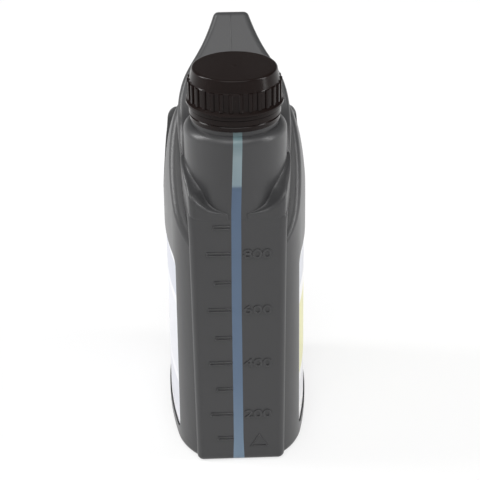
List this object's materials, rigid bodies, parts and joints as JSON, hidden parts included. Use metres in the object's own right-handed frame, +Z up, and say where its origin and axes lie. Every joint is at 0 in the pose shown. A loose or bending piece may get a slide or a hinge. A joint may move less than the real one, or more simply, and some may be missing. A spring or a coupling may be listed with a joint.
{
  "type": "gear oil bottle",
  "caption": "Upright plastic oil bottle with a carrying handle, a sight strip, recessed side labels and a fluted screw cap.",
  "frame": {"origin": "bottom centre of the bounding box, on the surface the bottle stands on", "axes": "+Z up, -Y towards the pouring side with the sight strip, +Y towards the handle, +X across the thickness"},
  "size_m": [0.0752, 0.108, 0.2131],
  "materials": {
    "bottle_plastic": "satin dark grey polyethylene",
    "strip_plastic": "translucent natural polyethylene",
    "cap_plastic": "glossy black polypropylene",
    "liner_foam": "white foam wad",
    "label_film": "satin white label film",
    "gear_oil": "clear amber oil"
  },
  "bodies": {
    "bottle_body": {"bottle": "bottle_plastic", "sight_strip": "strip_plastic", "tamper_band": "cap_plastic", "label_left": "label_film", "label_right": "label_film", "oil": "gear_oil"},
    "liner_body": {"cap_liner": "liner_foam"},
    "cap_body": {"cap": "cap_plastic"}
  },
  "joints": [
    {"name": "cap_lift", "type": "slide", "parent": "bottle_body", "child": "liner_body", "axis": [0, 0, 1], "range_m": [0, 0.009]},
    {"name": "cap_turn", "type": "hinge", "parent": "liner_body", "child": "cap_body", "pos_m": [0, -0.03, 0.195], "axis": [0, 0, 1], "range_deg": [0, 810]}
  ],
  "couplings": [
    {"joint": "cap_lift", "follows": "cap_turn", "m_per_rad": 0.00063661}
  ]
}
